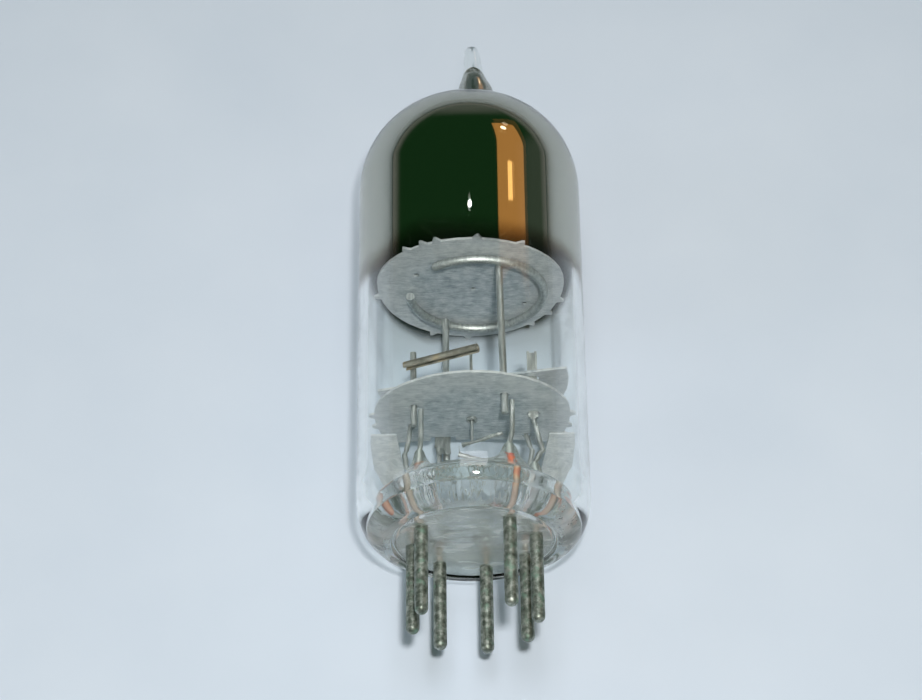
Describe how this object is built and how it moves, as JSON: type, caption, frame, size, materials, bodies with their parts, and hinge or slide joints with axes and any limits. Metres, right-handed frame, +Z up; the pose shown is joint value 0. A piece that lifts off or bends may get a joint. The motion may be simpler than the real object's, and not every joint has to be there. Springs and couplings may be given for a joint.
{
  "type": "vacuum tube",
  "caption": "Miniature glass vacuum tube with a pinned button base, mica spacers, a C-shaped ring on two rods and a dark getter mirror in the dome.",
  "frame": {"origin": "centre of the base seat, on the tube's axis where the pins leave the glass", "axes": "+Y along the tube's axis from the pins to the exhaust tip, +Z up with the tube lying on its side, +X to the right seen from the pins"},
  "size_m": [0.0178, 0.0531, 0.0178],
  "materials": {
    "clear_glass": "clear blown glass",
    "getter_mirror": "dark evaporated metal film",
    "mica_sheet": "split mica, cloudy grey",
    "nickel": "drawn nickel wire, satin",
    "tarnished_pin": "tarnished nickel with green bloom",
    "copper_seal": "oxidised copper sheath seen through glass",
    "getter_metal": "burnt nickel-iron strip"
  },
  "bodies": {
    "root": {"button_stem": "clear_glass", "centre_eyelet": "nickel", "centre_wire": "nickel", "cut_jumper": "nickel", "exhaust_tip": "clear_glass", "getter_bar": "getter_metal", "getter_filling": "getter_metal", "getter_film": "getter_mirror", "getter_post": "nickel", "glass_envelope": "clear_glass", "inner_lead_1": "nickel", "inner_lead_2": "nickel", "inner_lead_3": "nickel", "inner_lead_4": "nickel", "inner_lead_5": "nickel", "inner_lead_6": "nickel", "inner_lead_7": "nickel", "lower_mica": "mica_sheet", "middle_mica": "mica_sheet", "pin_1": "tarnished_pin", "pin_2": "tarnished_pin", "pin_3": "tarnished_pin", "pin_4": "tarnished_pin", "pin_5": "tarnished_pin", "pin_6": "tarnished_pin", "pin_7": "tarnished_pin", "ring_electrode": "nickel", "seal_wire_1": "copper_seal", "seal_wire_2": "copper_seal", "seal_wire_3": "copper_seal", "seal_wire_4": "copper_seal", "seal_wire_5": "copper_seal", "seal_wire_6": "copper_seal", "seal_wire_7": "copper_seal", "stem_mica": "mica_sheet", "support_rod_1": "nickel", "support_rod_2": "nickel", "tab_post": "nickel", "upper_mica": "mica_sheet", "weld_strap": "nickel"}
  },
  "joints": []
}
